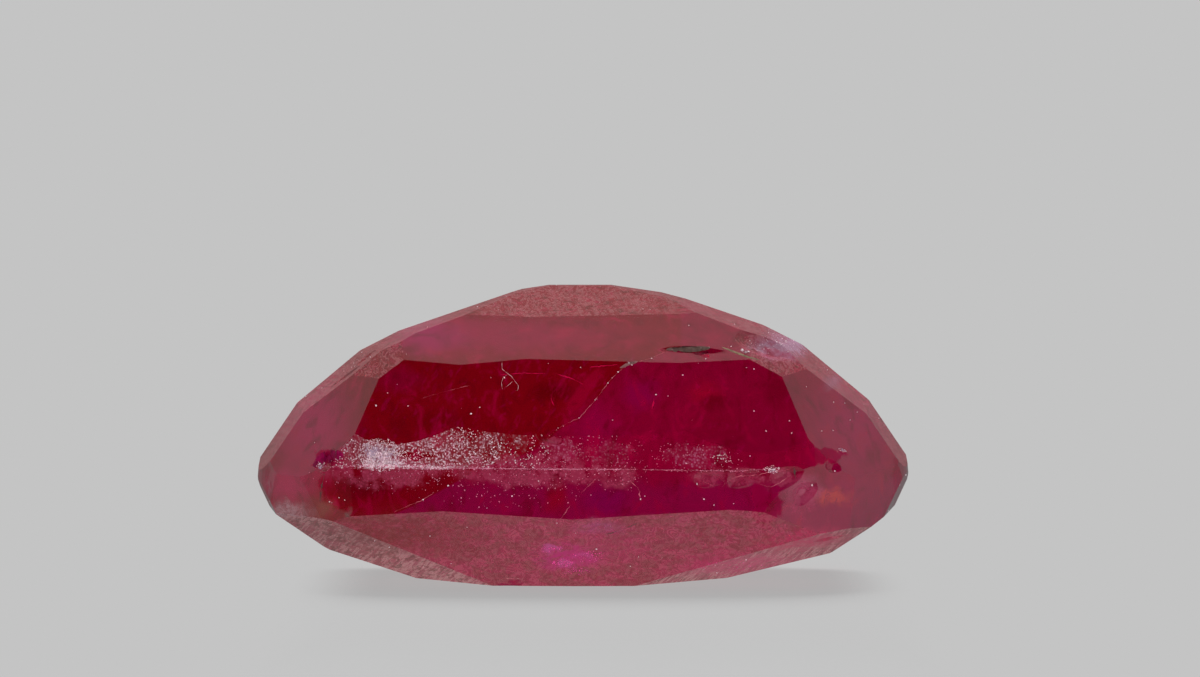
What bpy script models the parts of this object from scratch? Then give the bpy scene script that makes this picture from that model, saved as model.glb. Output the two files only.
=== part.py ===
"""A ruby cut by hand from an included natural crystal, lying on its largest flat face.

The stone starts as a bruted blank: a cushion outline with a wall that is widest along the girdle
ridge. Flat facets are then ground into it, row by row, above and below the girdle. A flat is set
as on a grinding wheel, by the way it faces round the stone, by its lean from upright, and by its
reach: how far out from the stone's axis it lies at its row's height. X runs along the stone, -Y is
its front, and Z is up. The origin is the middle of the face that it rests on.
"""

import math
from collections import namedtuple

import bmesh
import bpy
from mathutils import Matrix, Vector
from mathutils.bvhtree import BVHTree

MM = 0.001

# Driving dimensions, in millimetres
LENGTH = 15.0
WIDTH = 10.8
HEIGHT = 6.79
GIRDLE_HEIGHT = 2.80
GIRDLE_DIP = 0.38
GIRDLE_SQUARENESS = 3.3

# A row of flats. Facing is in degrees from the front, where 90 is the right-hand tip and 180 the
# back. Lean is in degrees from upright, and a flat with a negative one looks down.
Row = namedtuple("Row", "height lean flats")

CROWN_ROWS = (
    # The window: three broad flats on the front, and three on the back
    Row(3.60, 20, ((-13, 5.82), (0, 5.32), (11, 5.66), (169, 5.64), (180, 5.25), (-168, 5.74))),
    # The corners beside it, which reach down to the girdle
    Row(3.60, 27.0, ((-50, 7.01), (50, 6.93), (131, 6.92), (-129, 7.00))),
    # The two tips, ground in steps
    Row(3.15, 34, ((-84, 7.21), (84, 7.25), (96, 7.22), (-97, 7.18))),
    Row(4.03, 50, ((-83, 6.62), (82, 6.68), (98, 6.66), (-98, 6.60))),
    Row(5.32, 63, ((-84, 5.08), (83, 5.24), (97, 5.20), (-97, 5.04))),
    # The shoulder above the window, and its corners
    Row(5.20, 60, ((-7, 4.94), (2, 4.77), (8, 4.97), (174, 4.80), (-173, 4.87))),
    Row(5.65, 46.4, ((-48.5, 5.52), (-131, 5.56))),
    Row(5.90, 52, ((43.4, 4.96), (134, 5.02))),
    # The dome round the small top flat
    Row(6.20, 77.2, ((-1, 2.98), (181, 2.92))),
    Row(6.35, 71, ((-85, 2.48), (80, 2.72), (100, 2.70), (-96, 2.46))),
    Row(6.79, 80, ((-88, 0.78), (87, 0.62))),
)

PAVILION_ROWS = (
    # The wall under the girdle
    Row(2.80, -15, ((-9, 5.78), (-1, 5.40), (26, 6.62), (154, 6.60), (178, 5.42), (-170, 5.72))),
    Row(2.25, -13, ((-52, 7.50), (56, 7.44), (126, 7.46), (-127, 7.48))),
    Row(2.05, -25, ((-85, 7.41), (84, 7.34), (95, 7.34), (-95, 7.39))),
    # The underside, from the foot of the wall to the base
    Row(1.70, -53.6, ((-5, 5.16), (3, 5.14), (177, 5.12), (-175, 5.16))),
    Row(1.65, -53, ((-86, 7.20), (86, 7.13), (94, 7.13), (-94, 7.18))),
    Row(0.0, -68.5, ((-56.7, 3.20), (-124, 3.24))),
    Row(0.0, -73.3, ((53.4, 2.60), (127, 2.72))),
)

# A chip is a shallow shell-shaped scar: its middle, which is moved to the nearest point of the
# stone, the way it looks (facing and lean, in degrees), its radius, its depth, how much longer than
# wide it is, and its roll.
Chip = namedtuple("Chip", "middle facing lean radius depth stretch roll")

CHIPS = (
    # The broad scar on the right shoulder, and the opening of the fracture beside it
    Chip((4.34, -3.42, 5.50), 32, 56, 0.55, 0.17, 1.75, -14),
    Chip((2.60, -4.30, 5.56), 0, 56, 0.15, 0.15, 5.2, 3),
    # Along the girdle on the right, under the ridge
    Chip((2.75, -5.22, 2.62), 8, -14, 0.20, 0.07, 1.6, -12),
    Chip((3.55, -5.12, 2.66), 14, -18, 0.24, 0.09, 1.5, 8),
    Chip((4.42, -4.98, 2.62), 22, -16, 0.30, 0.12, 1.5, 14),
    Chip((5.02, -4.84, 2.20), 28, -15, 0.26, 0.09, 1.3, 60),
    Chip((5.62, -4.60, 2.84), 38, 6, 0.22, 0.09, 1.4, -20),
    # Where the fracture crosses the frosted wall, and the nick at the left corner
    Chip((-0.75, -5.28, 3.52), 0, 12, 0.22, 0.06, 1.5, -30),
    Chip((-5.86, -4.50, 3.02), -38, 12, 0.26, 0.12, 1.3, 25),
    # On the left rim
    Chip((-5.50, -2.70, 4.78), -70, 50, 0.22, 0.07, 1.8, 40),
    Chip((-5.02, -2.40, 5.16), -72, 56, 0.20, 0.06, 1.7, 30),
    # Under the right tip and on the lower edges
    Chip((5.60, -2.90, 0.86), 52, -66, 0.26, 0.07, 1.7, 10),
    Chip((-1.60, -2.86, 0.12), -10, -60, 0.20, 0.06, 1.6, 0),
    # On the back
    Chip((-3.40, 5.16, 2.78), 172, 2, 0.34, 0.10, 1.6, 12),
    Chip((1.20, 5.36, 2.80), 180, -4, 0.22, 0.08, 1.5, -8),
    Chip((4.95, 4.82, 2.72), 150, -8, 0.30, 0.11, 1.4, 20),
    Chip((-4.45, 4.05, 4.70), 200, 40, 0.34, 0.10, 1.5, -35),
    Chip((2.30, 3.10, 5.98), 178, 64, 0.26, 0.07, 1.7, 15),
    Chip((-2.60, 3.90, 0.76), 184, -54, 0.30, 0.08, 1.5, 5),
)

# The blank: its wall draws in by this much for each millimetre above or below the ridge, and the
# dip of the ridge grows with this power of the way to a tip
OUTLINE_POINTS = 96
WALL_LEAN = 0.08
DIP_POWER = 8
BLANK_MARGIN = 0.6
CUT_TOLERANCE = 1e-7

# The mesh of a chip's cutter. Spread is how far the bowl runs on past its rim, lid is the height
# of the cutter over the stone, and the lobes make the rim uneven: how many, and their share.
CHIP_SPOKES = 14
CHIP_RINGS = 5
CHIP_SPREAD = 1.5
CHIP_LID = 0.8
RIPPLE_SHARE = 0.10
RIPPLE_TURNS = 2.2
RIM_LOBES = ((2, 0.12), (3, 0.08))
WELD_REACH = 0.002


def outline_point(height, half_length, half_width, turn):
    """The point of a cushion outline at a turn of its parameter, 0 at the front."""
    power = 2.0 / GIRDLE_SQUARENESS
    side = math.sin(turn)
    front = math.cos(turn)
    x = math.copysign(abs(side) ** power, side) * half_length
    y = -math.copysign(abs(front) ** power, front) * half_width
    return Vector((x, y, height))


def bruted_blank(stone):
    """The blank: rings of the girdle outline, widest at the ridge, which dips at the two tips."""
    rings = []
    for height in (-BLANK_MARGIN, GIRDLE_HEIGHT, HEIGHT + BLANK_MARGIN):
        draw_in = WALL_LEAN * abs(height - GIRDLE_HEIGHT)
        ring = []
        for step in range(OUTLINE_POINTS):
            turn = 2 * math.pi * step / OUTLINE_POINTS
            point = outline_point(height, LENGTH / 2 - draw_in, WIDTH / 2 - draw_in, turn)
            point.z -= GIRDLE_DIP * (abs(point.x) / (LENGTH / 2)) ** DIP_POWER
            ring.append(stone.verts.new(point * MM))
        rings.append(ring)
    for low, high in zip(rings, rings[1:]):
        for step in range(OUTLINE_POINTS):
            after = (step + 1) % OUTLINE_POINTS
            stone.faces.new((low[step], low[after], high[after], high[step]))
    stone.faces.new(list(reversed(rings[0])))
    stone.faces.new(rings[-1])
    stone.normal_update()


def grind(stone, through, normal):
    """Takes away all of the stone outside a plane, and closes it with one flat face."""
    everything = stone.verts[:] + stone.edges[:] + stone.faces[:]
    cut = bmesh.ops.bisect_plane(
        stone,
        geom=everything,
        dist=CUT_TOLERANCE,
        plane_co=through * MM,
        plane_no=normal,
        clear_outer=True,
    )
    rim = [item for item in cut["geom_cut"] if isinstance(item, bmesh.types.BMEdge)]
    if rim:
        bmesh.ops.holes_fill(stone, edges=rim)


def level_way(facing):
    """The level direction of a facing in degrees."""
    turn = math.radians(facing)
    return Vector((math.sin(turn), -math.cos(turn), 0.0))


def outward_normal(facing, lean):
    """The normal of a face from its facing and its lean, in degrees."""
    tilt = math.radians(lean)
    return level_way(facing) * math.cos(tilt) + Vector((0, 0, math.sin(tilt)))


def grind_row(stone, row):
    """Every flat of one row."""
    for facing, reach in row.flats:
        through = level_way(facing) * reach + Vector((0, 0, row.height))
        grind(stone, through, outward_normal(facing, row.lean))


def cut_stone():
    """The whole stone without its damages."""
    stone = bmesh.new()
    bruted_blank(stone)
    grind(stone, Vector((0, 0, HEIGHT)), Vector((0, 0, 1)))
    grind(stone, Vector((0, 0, 0)), Vector((0, 0, -1)))
    for row in CROWN_ROWS + PAVILION_ROWS:
        grind_row(stone, row)
    return stone


def scoop(cutter, chip, surface):
    """A closed body whose lower side is a chip's scar: a shallow bowl with ripples round it."""
    normal = outward_normal(chip.facing, chip.lean)
    roll = Matrix.Rotation(math.radians(chip.roll), 3, normal)
    along = roll @ level_way(chip.facing + 90)
    across = normal.cross(along)
    middle = surface.find_nearest(Vector(chip.middle) * MM)[0] / MM
    rings = []
    for ring in range(1, CHIP_RINGS + 1):
        share = CHIP_SPREAD * ring / CHIP_RINGS
        bowl = share * share - 1.0 + RIPPLE_SHARE * math.sin(2 * math.pi * RIPPLE_TURNS * share)
        points = []
        for spoke in range(CHIP_SPOKES):
            turn = 2 * math.pi * spoke / CHIP_SPOKES
            uneven = 1.0 + sum(size * math.sin(lobes * turn + chip.roll) for lobes, size in RIM_LOBES)
            reach = chip.radius * share * uneven
            offset = along * (reach * chip.stretch * math.cos(turn)) + across * (reach * math.sin(turn))
            points.append(middle + offset + normal * (chip.depth * bowl))
        rings.append([cutter.verts.new(point * MM) for point in points])
    bottom = cutter.verts.new((middle - normal * chip.depth) * MM)
    lid = cutter.verts.new((middle + normal * CHIP_LID) * MM)
    for spoke in range(CHIP_SPOKES):
        after = (spoke + 1) % CHIP_SPOKES
        cutter.faces.new((bottom, rings[0][after], rings[0][spoke]))
        cutter.faces.new((lid, rings[-1][spoke], rings[-1][after]))
        for inner, outer in zip(rings, rings[1:]):
            cutter.faces.new((inner[spoke], inner[after], outer[after], outer[spoke]))


def chip_cutter(stone):
    """The cutters of all the chips, in one mesh."""
    cutter = bmesh.new()
    surface = BVHTree.FromBMesh(stone)
    for chip in CHIPS:
        scoop(cutter, chip, surface)
    bmesh.ops.recalc_face_normals(cutter, faces=cutter.faces[:])
    mesh = bpy.data.meshes.new("chip_cutter")
    cutter.to_mesh(mesh)
    cutter.free()
    body = bpy.data.objects.new("chip_cutter", mesh)
    bpy.context.scene.collection.objects.link(body)
    body.hide_render = True
    body.display_type = "WIRE"
    return body


def ruby_material():
    """Deep red, see-through and polished."""
    material = bpy.data.materials.new("ruby")
    material.use_nodes = True
    shader = material.node_tree.nodes["Principled BSDF"]
    shader.inputs["Base Color"].default_value = (0.35, 0.006, 0.035, 1.0)
    shader.inputs["Roughness"].default_value = 0.12
    shader.inputs["Metallic"].default_value = 0.0
    shader.inputs["IOR"].default_value = 1.77
    shader.inputs["Transmission Weight"].default_value = 0.6
    return material


def main():
    for old in list(bpy.data.objects):
        bpy.data.objects.remove(old, do_unlink=True)
    stone = cut_stone()
    cutter = chip_cutter(stone)
    mesh = bpy.data.meshes.new("ruby")
    stone.to_mesh(mesh)
    stone.free()
    ruby = bpy.data.objects.new("ruby", mesh)
    bpy.context.scene.collection.objects.link(ruby)
    mesh.materials.append(ruby_material())
    damage = ruby.modifiers.new("damage", "BOOLEAN")
    damage.operation = "DIFFERENCE"
    damage.solver = "EXACT"
    damage.use_self = True
    damage.object = cutter
    tidy = ruby.modifiers.new("tidy", "WELD")
    tidy.merge_threshold = WELD_REACH * MM


main()
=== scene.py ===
"""A hand-cut ruby on a pale floor.

The stone's facets and larger chips come with the frame. This script gives it its see-through red
body, its polished, scratched and frosted faces, and the small things in it and on it: sugary
grains on the girdle wall, the seam of a healed fracture, fine cracks, dust and a stray fibre.
Lengths are in millimetres until they go into a mesh, where MM turns them into metres.
"""

import math
from collections import namedtuple

import bpy
import numpy as np
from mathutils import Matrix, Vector


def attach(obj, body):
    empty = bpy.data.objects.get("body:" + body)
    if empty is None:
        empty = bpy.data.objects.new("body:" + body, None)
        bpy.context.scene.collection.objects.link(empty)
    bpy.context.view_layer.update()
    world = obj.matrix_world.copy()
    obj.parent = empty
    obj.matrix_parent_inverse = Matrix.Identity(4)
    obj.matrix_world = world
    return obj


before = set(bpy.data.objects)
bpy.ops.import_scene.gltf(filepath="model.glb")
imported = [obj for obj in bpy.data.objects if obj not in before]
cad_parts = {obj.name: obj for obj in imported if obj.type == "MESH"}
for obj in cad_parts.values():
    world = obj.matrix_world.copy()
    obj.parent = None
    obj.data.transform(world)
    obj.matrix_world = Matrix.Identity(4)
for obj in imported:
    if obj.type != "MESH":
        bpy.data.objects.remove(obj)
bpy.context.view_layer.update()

MM = 0.001
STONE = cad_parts["ruby"]

# The photograph's frame, and where the stone's origin and scale lie in it
FRAME_WIDTH, FRAME_HEIGHT = 1200, 677
ORIGIN_PIXEL = (583.25, 578.5)
MM_PER_PIXEL = 15.0 / 648.5

# The camera
LENS, SENSOR = 250.0, 36.0
CAMERA_RISE = math.radians(2.0)

# The studio: what the stone mirrors, and what the camera sees behind it
BACKDROP = 0.552
TENT = 0.335
TENT_BEHIND, BEHIND_FADE = 0.50, (0.40, 0.98)
TENT_BELOW, BELOW_FADE = 0.55, (-0.9, 0.1)
DARK_HALF_WIDTH, DARK_EDGE = 42.0, 9.0
DARK_LOWEST, DARK_HIGHEST = -48.0, 60.0
CARD_LIGHT = 0.48
CARD_TURN, CARD_RISE = 59.0, -29.0
CARD_REACH = (14.0, 9.0)


def camera_axes():
    """The camera's place in millimetres and its right, up and forward directions."""
    back = np.array([0.0, -math.cos(CAMERA_RISE), math.sin(CAMERA_RISE)])
    up = np.array([0.0, math.sin(CAMERA_RISE), math.cos(CAMERA_RISE)])
    distance = LENS * MM_PER_PIXEL * FRAME_WIDTH / SENSOR
    aim_x = (FRAME_WIDTH / 2 - ORIGIN_PIXEL[0]) * MM_PER_PIXEL
    aim_z = (ORIGIN_PIXEL[1] - FRAME_HEIGHT / 2) * MM_PER_PIXEL / math.cos(CAMERA_RISE)
    place = np.array([aim_x, 0.0, aim_z]) + back * distance
    return place, np.array([1.0, 0.0, 0.0]), up, -back


def make_camera():
    """The camera at the photograph's angle."""
    place, _, _, forward = camera_axes()
    lens = bpy.data.cameras.new("camera")
    lens.lens = LENS
    lens.sensor_width = SENSOR
    lens.clip_start = 0.005
    lens.clip_end = 20.0
    camera = bpy.data.objects.new("camera", lens)
    bpy.context.scene.collection.objects.link(camera)
    camera.location = Vector(place * MM)
    camera.rotation_mode = "QUATERNION"
    camera.rotation_quaternion = Vector(forward).to_track_quat("-Z", "Y")
    bpy.context.scene.camera = camera


def add(tree, kind, links=None, **settings):
    """A new node: settings are its own values, and links fill its inputs, by name or number, with
    another node's output or a plain value."""
    node = tree.nodes.new(kind)
    for name, value in settings.items():
        setattr(node, name, value)
    for name, value in (links or {}).items():
        if isinstance(value, bpy.types.NodeSocket):
            tree.links.new(value, node.inputs[name])
        else:
            node.inputs[name].default_value = value
    return node


def maths(tree, operation, first, second=0.0, third=0.0, clamp=False):
    """The output of one Math node."""
    links = {0: first, 1: second}
    if operation in ("MULTIPLY_ADD", "WRAP", "COMPARE", "SMOOTH_MIN"):
        links[2] = third
    return add(tree, "ShaderNodeMath", links, operation=operation, use_clamp=clamp).outputs[0]


def times(tree, first, second):
    """The product of two values."""
    return maths(tree, "MULTIPLY", first, second)


def apart(tree, first, second):
    """How far apart two values are."""
    return maths(tree, "ABSOLUTE", maths(tree, "SUBTRACT", first, second))


def ramp(tree, value, low, high, to_low=0.0, to_high=1.0, smooth=True):
    """A value carried from low..high to to_low..to_high, and held beyond the ends."""
    node = add(
        tree,
        "ShaderNodeMapRange",
        {"Value": value, "From Min": low, "From Max": high, "To Min": to_low, "To Max": to_high},
        interpolation_type="SMOOTHSTEP" if smooth else "LINEAR",
    )
    return node.outputs["Result"]


def blend(tree, share, first, second):
    """The mix of two colours."""
    node = tree.nodes.new("ShaderNodeMix")
    node.data_type = "RGBA"
    for name, value in (("Factor", share), ("A", first), ("B", second)):
        at = next(s for s in node.inputs if s.enabled and s.name == name)
        if isinstance(value, bpy.types.NodeSocket):
            tree.links.new(value, at)
        else:
            at.default_value = value
    return next(s for s in node.outputs if s.type == "RGBA" and s.enabled)


def blend_value(tree, share, first, second):
    """The mix of two values."""
    return maths(tree, "MULTIPLY_ADD", share, maths(tree, "SUBTRACT", second, first), first)


def noise(tree, place, scale, detail=3.0, roughness=0.5, distortion=0.0):
    """The value of a Noise node, about 0.5 on average."""
    node = add(
        tree,
        "ShaderNodeTexNoise",
        {
            "Vector": place,
            "Scale": scale,
            "Detail": detail,
            "Roughness": roughness,
            "Distortion": distortion,
        },
    )
    return node.outputs["Fac"]


def dots(tree, place, scale, size):
    """Round specks of uneven lightness, one to each cell of a Voronoi pattern."""
    cells = add(tree, "ShaderNodeTexVoronoi", {"Vector": place, "Scale": scale})
    near = ramp(tree, cells.outputs["Distance"], size, size * 0.35)
    light = add(tree, "ShaderNodeSeparateXYZ", {0: cells.outputs["Color"]}).outputs["X"]
    return times(tree, near, light)


def stretched(tree, place, lengths, turn=(0.0, 0.0, 0.0)):
    """A place counted in these lengths along axes that are turned by these angles."""
    links = {"Vector": place, "Rotation": turn, "Scale": lengths}
    return add(tree, "ShaderNodeMapping", links, vector_type="TEXTURE").outputs["Vector"]


def new_material(name):
    """A material and its empty node tree."""
    material = bpy.data.materials.new(name)
    material.use_nodes = True
    material.node_tree.nodes.clear()
    return material, material.node_tree


def place_in_mm(tree):
    """Object coordinates in millimetres."""
    here = add(tree, "ShaderNodeTexCoord").outputs["Object"]
    return add(tree, "ShaderNodeVectorMath", {0: here, "Scale": 1 / MM}, operation="SCALE").outputs[0]


def make_studio():
    """A white tent with a dark opening on the side of the front camera. The camera itself sees one
    even grey, so that the floor melts into it."""
    world = bpy.data.worlds.new("studio")
    bpy.context.scene.world = world
    world.use_nodes = True
    tree = world.node_tree
    tree.nodes.clear()
    way = add(tree, "ShaderNodeTexCoord").outputs["Generated"]
    parts = add(tree, "ShaderNodeSeparateXYZ", {0: way})
    forward = times(tree, parts.outputs["Y"], -1.0)
    turn = maths(tree, "ARCTAN2", parts.outputs["X"], forward)
    turn = maths(tree, "DEGREES", turn)
    rise = maths(tree, "DEGREES", maths(tree, "ARCSINE", parts.outputs["Z"]))
    beside = ramp(tree, maths(tree, "ABSOLUTE", turn), DARK_HALF_WIDTH, DARK_HALF_WIDTH + DARK_EDGE)
    over = ramp(tree, rise, DARK_HIGHEST, DARK_HIGHEST + DARK_EDGE)
    under = ramp(tree, rise, DARK_LOWEST, DARK_LOWEST - DARK_EDGE)
    bright = maths(tree, "MAXIMUM", beside, maths(tree, "MAXIMUM", over, under))
    behind = ramp(tree, parts.outputs["Y"], *BEHIND_FADE, 1.0, TENT_BEHIND)
    below = ramp(tree, parts.outputs["Z"], *BELOW_FADE, TENT_BELOW, 1.0)
    shade = times(tree, behind, times(tree, below, TENT))
    aside = apart(tree, turn, CARD_TURN)
    off = apart(tree, rise, CARD_RISE)
    card = times(tree, ramp(tree, aside, *CARD_REACH), ramp(tree, off, *CARD_REACH))
    card = times(tree, card, CARD_LIGHT)
    tent = maths(tree, "MAXIMUM", card, times(tree, bright, shade))
    seen = add(tree, "ShaderNodeLightPath").outputs["Is Camera Ray"]
    light = add(tree, "ShaderNodeBackground", {"Color": tent, "Strength": 1.0})
    backdrop = add(tree, "ShaderNodeBackground", {"Color": (BACKDROP,) * 3 + (1.0,), "Strength": 1.0})
    both = add(tree, "ShaderNodeMixShader", {0: seen, 1: light.outputs[0], 2: backdrop.outputs[0]})
    add(tree, "ShaderNodeOutputWorld", {"Surface": both.outputs[0]})
    bpy.context.scene.view_settings.view_transform = "Standard"


# The floor in millimetres: its disc, and the distances over which it fades out, away from the stone
# and to both sides of the shadow's middle. Then the share of light it sends back, and its own light.
FLOOR_RADIUS = 400.0
FLOOR_FADE = (14.0, 34.0)
SHADOW_MIDDLE, SHADOW_FADE = 0.43, (5.0, 7.2)
FLOOR_ALBEDO = 0.12
FLOOR_GLOW = 0.399
FLOOR_GROUP = bpy.data.collections.new("floor_group")


def make_floor():
    """A pale disc that fades out round the stone, so that only the shadow on it shows."""
    mesh = bpy.data.meshes.new("floor")
    turns = np.linspace(0, 2 * math.pi, 64, endpoint=False)
    rim = np.stack([np.cos(turns), np.sin(turns), 0 * turns], 1) * FLOOR_RADIUS * MM
    mesh.from_pydata(rim.tolist(), [], [list(range(len(rim)))])
    floor = bpy.data.objects.new("floor", mesh)
    bpy.context.scene.collection.objects.link(floor)
    floor.visible_glossy = False
    floor.visible_transmission = False
    material, tree = new_material("floor")
    place = place_in_mm(tree)
    away = add(tree, "ShaderNodeVectorMath", {0: place}, operation="LENGTH").outputs["Value"]
    across = add(tree, "ShaderNodeSeparateXYZ", {0: place}).outputs["X"]
    across = apart(tree, across, SHADOW_MIDDLE)
    fade = maths(tree, "MAXIMUM", ramp(tree, away, *FLOOR_FADE), ramp(tree, across, *SHADOW_FADE))
    paper = add(tree, "ShaderNodeBsdfDiffuse", {"Color": (FLOOR_ALBEDO,) * 3 + (1.0,)})
    glow = add(tree, "ShaderNodeEmission", {"Color": (FLOOR_GLOW,) * 3 + (1.0,)})
    lit = add(tree, "ShaderNodeAddShader", {0: paper.outputs[0], 1: glow.outputs[0]})
    nothing = add(tree, "ShaderNodeBsdfTransparent")
    both = add(tree, "ShaderNodeMixShader", {0: fade, 1: lit.outputs[0], 2: nothing.outputs[0]})
    add(tree, "ShaderNodeOutputMaterial", {"Surface": both.outputs[0]})
    mesh.materials.append(material)
    FLOOR_GROUP.objects.link(floor)


# What most lamps light, and what keeps their light from the floor
STONE_GROUP = bpy.data.collections.new("stone_group")
STONE_GROUP.objects.link(STONE)

# Soft lamps that light the body but aren't mirrored: name, bearing and height in degrees, watts,
# distance and size in millimetres
LAMPS = (
    ("key_left", -40.0, 38.0, 0.055, 130.0, 90.0),
    ("key_right", 40.0, 38.0, 0.055, 130.0, 90.0),
    ("back_left", -140.0, 40.0, 0.045, 130.0, 90.0),
    ("back_right", 140.0, 40.0, 0.045, 130.0, 90.0),
    ("sky", 180.0, 50.0, 0.085, 130.0, 90.0),
    ("bounce", 0.0, -48.0, 0.100, 130.0, 90.0),
    ("shade", 180.0, 55.0, 8.3, 800.0, 540.0),
)


def make_lamps():
    """Large area lamps that look at the stone from all round. Only the shade lamp lights the floor, so
    that one soft shadow lies under the stone, and the bounce lamp shines up through it."""
    for name, bearing, height, power, distance, size in LAMPS:
        lamp = bpy.data.lights.new(name, "AREA")
        lamp.shape = "DISK"
        lamp.size = size * MM
        lamp.energy = power
        holder = bpy.data.objects.new(name, lamp)
        bpy.context.scene.collection.objects.link(holder)
        turn, rise = math.radians(bearing), math.radians(height)
        level = math.cos(rise)
        away = Vector((math.sin(turn) * level, -math.cos(turn) * level, math.sin(rise)))
        holder.location = away * distance * MM
        holder.rotation_mode = "QUATERNION"
        holder.rotation_quaternion = (-away).to_track_quat("-Z", "Y")
        holder.visible_camera = False
        holder.visible_glossy = False
        holder.visible_transmission = False
        holder.light_linking.receiver_collection = FLOOR_GROUP if name == "shade" else STONE_GROUP
        holder.light_linking.blocker_collection = STONE_GROUP


# How the stone bends and passes light, and how rough it is where it is clear and where it is frosted
IOR = 1.77
SEE_THROUGH = 0.6
CLOUDY, FROSTED = 0.22, 0.60
# Colours of the stone, and of the scratches, haze and frost on it
BLOOD_RED = (0.45, 0.0008, 0.012, 1.0)
CRIMSON = (0.54, 0.0006, 0.054, 1.0)
MAGENTA = (0.57, 0.0030, 0.105, 1.0)
HAIR_PINK = (0.98, 0.42, 0.44, 1.0)
FROST_PINK = (1.0, 0.52, 0.66, 1.0)
FROST_ROSE = (0.88, 0.20, 0.42, 1.0)
BROWN = (0.52, 0.045, 0.070, 1.0)
# Painted light from below: the rose that lightens the underside flats
PAINTED_UNDERLIGHT_ROSE = (1.0, 0.030, 0.190, 1.0)
LAVENDER = (0.92, 0.66, 0.92, 1.0)
MAUVE = (0.82, 0.11, 0.24, 1.0)
# What a millimetre of the stone takes from red, green and blue light, as exponents
TAKEN_PER_MM = (0.05, 1.10, 0.50)

LENGTH_OF_STONE = 15.0
# The depth in front of the stone's middle at which colours are placed
FRONT_DEPTH = -4.2

# The healed fracture that crosses the front, from its foot to the opening at the shoulder, in pixels
FRACTURE = (
    (395, 512), (413, 504), (433, 493), (470, 472), (487, 463), (507, 459), (523, 452), (534, 447),
    (542, 441), (550, 436), (558, 428), (579, 418), (584, 413), (595, 400), (608, 383), (619, 371),
    (629, 364), (651, 358), (662, 353), (681, 347),
)

# The number of the fracture's point at which its seam is open and pale
SEAM_START = 9

# Tints within the stone: name, middle and reach in pixels, colour and strength
TINTS = (
    ("red beside the purple", (556, 497), (17, 24), (0.62, 0.001, 0.020, 1.0), 0.8),
    ("purple below the girdle", (607, 500), (34, 22), (0.50, 0.001, 0.150, 1.0), 0.9),
    ("magenta along the fracture", (596, 424), (34, 34), (0.66, 0.001, 0.110, 1.0), 0.7),
    ("dark red middle right", (715, 425), (48, 28), (0.47, 0.001, 0.035, 1.0), 0.6),
    ("red glow in the window", (706, 393), (26, 16), (0.80, 0.002, 0.050, 1.0), 0.7),
    ("crimson upper left", (400, 380), (34, 16), (0.50, 0.001, 0.050, 1.0), 0.8),
    ("crimson between the flats", (455, 420), (9, 22), (0.58, 0.001, 0.040, 1.0), 0.6),
    ("lighter band beside the fracture", (577, 398), (20, 26), (0.62, 0.001, 0.040, 1.0), 0.7),
    ("brown low left", (322, 508), (15, 15), (0.50, 0.12, 0.08, 1.0), 0.7),
    ("grey spot low left", (347, 518), (6, 6), (0.30, 0.25, 0.22, 1.0), 0.8),
    ("crimson notch low", (338, 460), (22, 12), (0.40, 0.001, 0.030, 1.0), 1.0),
    ("crimson right end", (762, 500), (22, 26), (0.60, 0.001, 0.085, 1.0), 0.7),
    ("rose left corner", (312, 425), (62, 80), (0.86, 0.006, 0.150, 1.0), 0.9),
    ("rose left low", (288, 486), (44, 28), (0.90, 0.006, 0.150, 1.0), 0.9),
    ("rose right corner", (855, 430), (66, 90), (0.78, 0.006, 0.140, 1.0), 0.9),
    ("rose upper band", (500, 336), (200, 27), (0.64, 0.002, 0.085, 1.0), 0.8),
    ("pink upper band", (425, 335), (60, 24), (0.72, 0.004, 0.170, 1.0), 0.8),
    ("dark beside the lighter band", (556, 391), (36, 14), (0.24, 0.0004, 0.005, 1.0), 0.8),
    ("dark low left window", (440, 420), (60, 14), (0.30, 0.0004, 0.006, 1.0), 0.6),
    ("dark red left end", (362, 488), (44, 20), (0.29, 0.0006, 0.010, 1.0), 1.0),
    ("magenta beside the fracture", (640, 395), (26, 24), (0.60, 0.0010, 0.130, 1.0), 0.7),
    ("dark in the right window", (715, 403), (26, 11), (0.32, 0.0005, 0.018, 1.0), 0.7),
    ("dark right end of the window", (780, 390), (26, 26), (0.36, 0.0006, 0.026, 1.0), 0.6),
)

# Painted glow: light that comes up through the stone, painted into its colour: the same columns
PAINTED_GLOWS = (
    ("brown low left", (400, 534), (125, 36), (0.40, 0.03, 0.04, 1.0), 0.75),
    ("rose low middle", (600, 545), (90, 34), (0.95, 0.04, 0.24, 1.0), 0.35),
    ("hot pink low middle", (568, 558), (46, 20), (1.0, 0.03, 0.34, 1.0), 0.9),
    ("hot pink spot", (563, 563), (12, 6), (1.0, 0.18, 0.52, 1.0), 1.0),
    ("hot pink spot above", (552, 549), (12, 5), (1.0, 0.14, 0.50, 1.0), 1.0),
    ("hot pink spot right", (584, 555), (16, 5), (1.0, 0.10, 0.42, 1.0), 1.0),
    ("pink low right", (742, 564), (90, 24), (1.0, 0.05, 0.24, 1.0), 0.85),
    ("rose far right", (805, 541), (64, 20), (0.96, 0.03, 0.17, 1.0), 1.0),
    ("orange far right", (832, 497), (28, 13), (1.0, 0.08, 0.08, 1.0), 0.85),
    ("purple under the window", (600, 528), (36, 12), (0.80, 0.14, 0.42, 1.0), 0.5),
)

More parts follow.
